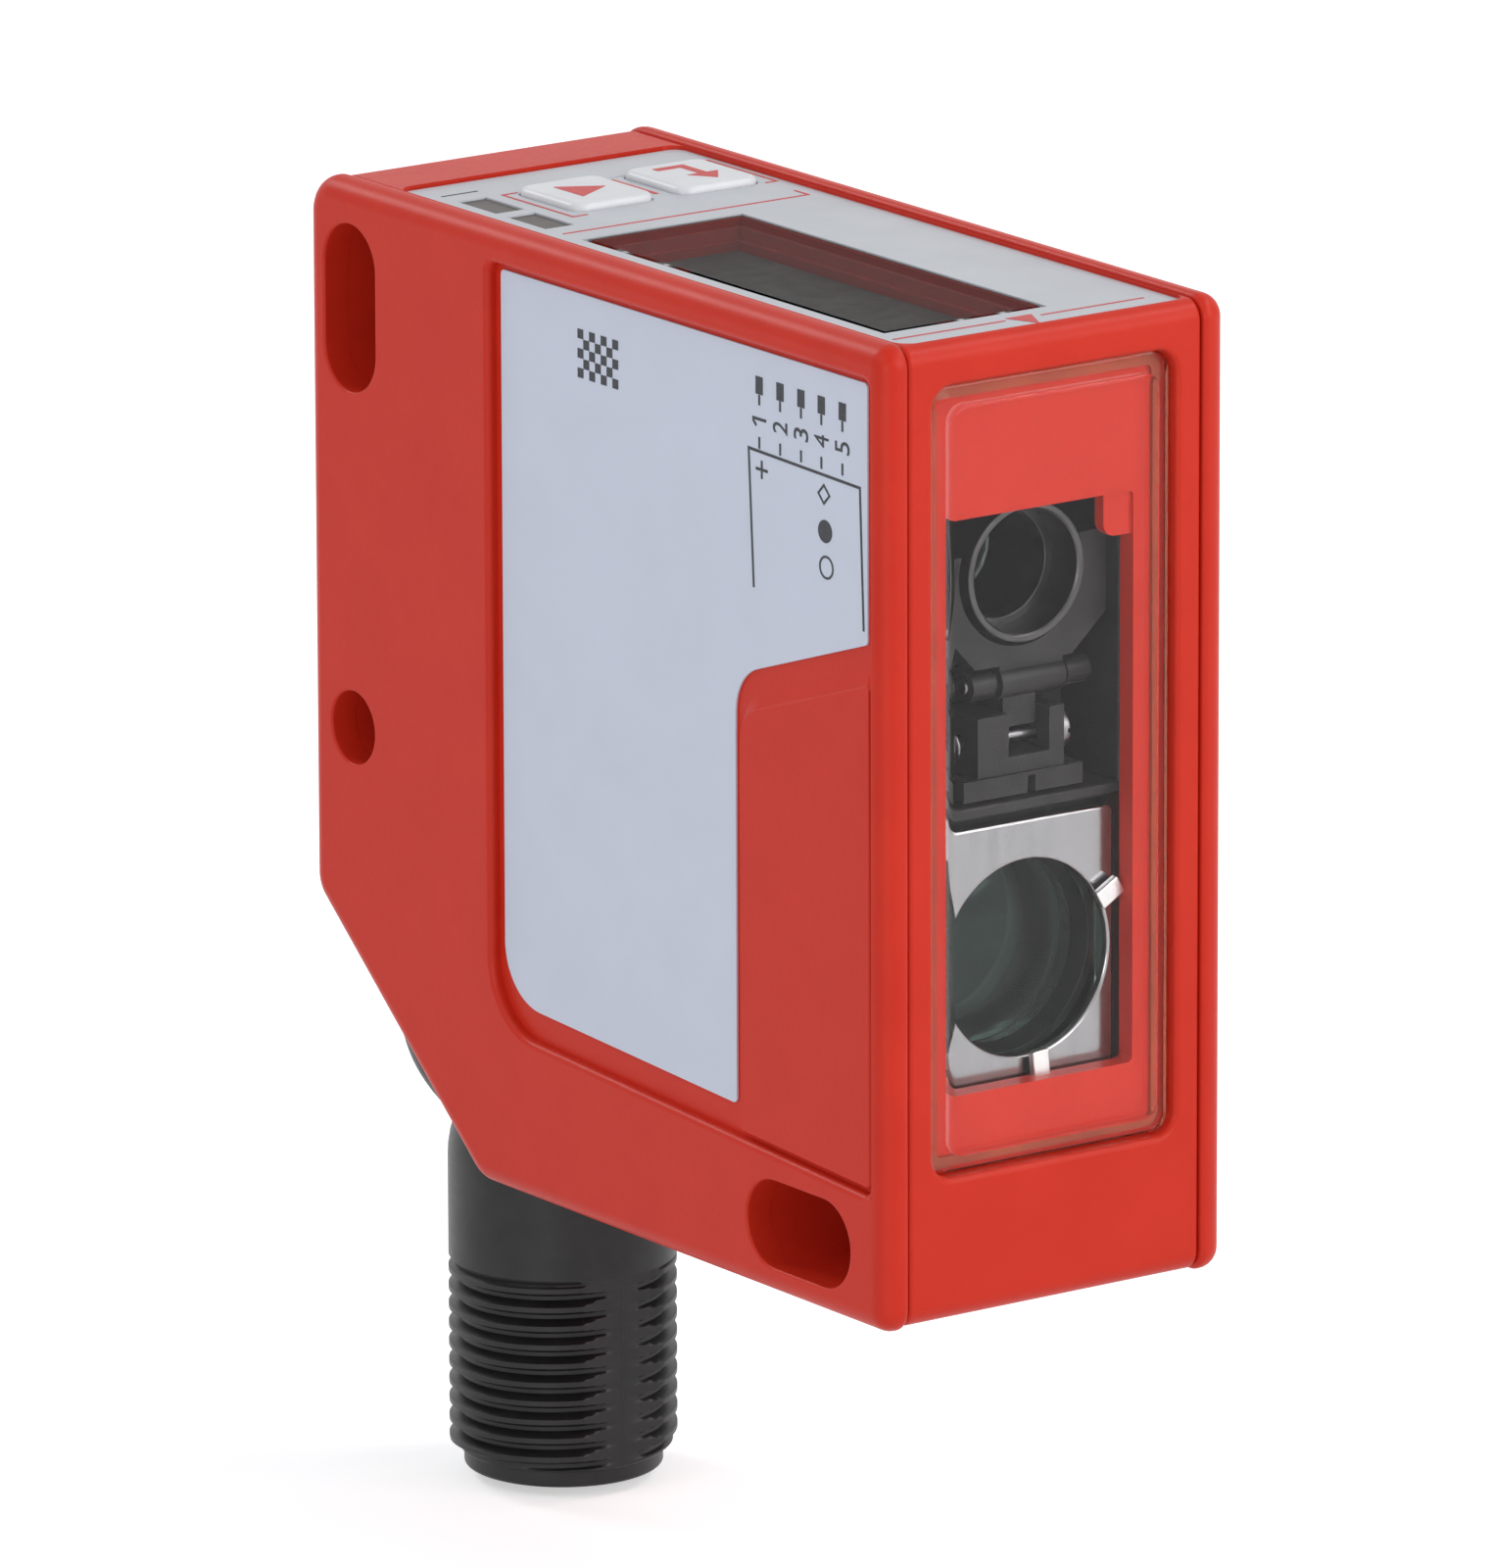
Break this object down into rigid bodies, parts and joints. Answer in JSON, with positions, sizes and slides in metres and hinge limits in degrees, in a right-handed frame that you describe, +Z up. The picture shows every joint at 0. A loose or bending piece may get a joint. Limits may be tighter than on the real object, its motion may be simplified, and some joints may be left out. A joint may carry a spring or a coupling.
{
  "type": "distance sensor",
  "caption": "Compact optical distance sensor in a flat block housing, with a front window, a top display with keys and a threaded plug connector that turns on the sloping rear corner.",
  "frame": {"origin": "centre of the plain side face that lies against the bracket", "axes": "+X out of the plain side face, -Y out of the front window along the beam, +Z up out of the control panel"},
  "size_m": [0.021, 0.0508, 0.0688],
  "materials": {
    "red_housing": "satin moulded",
    "black_plastic": "satin moulded",
    "foil_grey": "smooth foil",
    "label_grey": "smooth foil",
    "clear_plastic": "polished clear",
    "display_glass": "dark smooth",
    "key_white": "smooth white",
    "bright_metal": "bright plated",
    "contact_metal": "gold plated",
    "lens_glass": "polished, dark tinted",
    "board_green": "lacquered",
    "seal_rubber": "matt"
  },
  "bodies": {
    "housing": {"adjusting_screw": "bright_metal", "adjusting_spring": "bright_metal", "board_link": "black_plastic", "collimator_lens": "lens_glass", "display_board": "board_green", "display_module": "display_glass", "display_pane": "clear_plastic", "driver_chip": "black_plastic", "front_status_lamp": "key_white", "front_status_light": "display_glass", "front_window": "clear_plastic", "housing_frame": "red_housing", "laser_diode": "bright_metal", "laser_tube": "black_plastic", "left_cover": "red_housing", "lens_barrel": "black_plastic", "lens_plate": "bright_metal", "lower_lens_clip": "bright_metal", "main_board": "board_green", "optics_carrier": "black_plastic", "panel_overlay": "foil_grey", "processor_chip": "black_plastic", "rear_status_lamp": "key_white", "rear_status_light": "display_glass", "receiver_board": "board_green", "receiver_chip": "black_plastic", "receiver_filter": "lens_glass", "receiver_lens": "lens_glass", "regulator_chip": "black_plastic", "right_cover": "red_housing", "select_switch": "black_plastic", "side_label": "label_grey", "tube_yoke": "black_plastic", "up_switch": "black_plastic", "upper_lens_clip": "bright_metal", "window_seal": "seal_rubber", "yoke_base": "black_plastic", "yoke_pin": "bright_metal"},
    "connector": {"connector_shell": "black_plastic", "contact_insert": "black_plastic", "contact_pin_1": "contact_metal", "contact_pin_2": "contact_metal", "contact_pin_3": "contact_metal", "contact_pin_4": "contact_metal", "contact_pin_5": "contact_metal", "swivel_seal": "seal_rubber", "swivel_retainer": "contact_metal"},
    "up_key_cap": {"up_key": "key_white"},
    "select_key_cap": {"select_key": "key_white"}
  },
  "joints": [
    {"name": "connector_swivel", "type": "hinge", "parent": "housing", "child": "connector", "pos_m": [-0.0105, 0.0177, -0.0188], "axis": [0, 0.6473, -0.7622], "range_deg": [0, 180]},
    {"name": "up_key_press", "type": "slide", "parent": "housing", "child": "up_key_cap", "axis": [0, 0, -1], "range_m": [0, 0.0004], "stiffness_N_per_m": 4000},
    {"name": "select_key_press", "type": "slide", "parent": "housing", "child": "select_key_cap", "axis": [0, 0, -1], "range_m": [0, 0.0004], "stiffness_N_per_m": 4000}
  ]
}
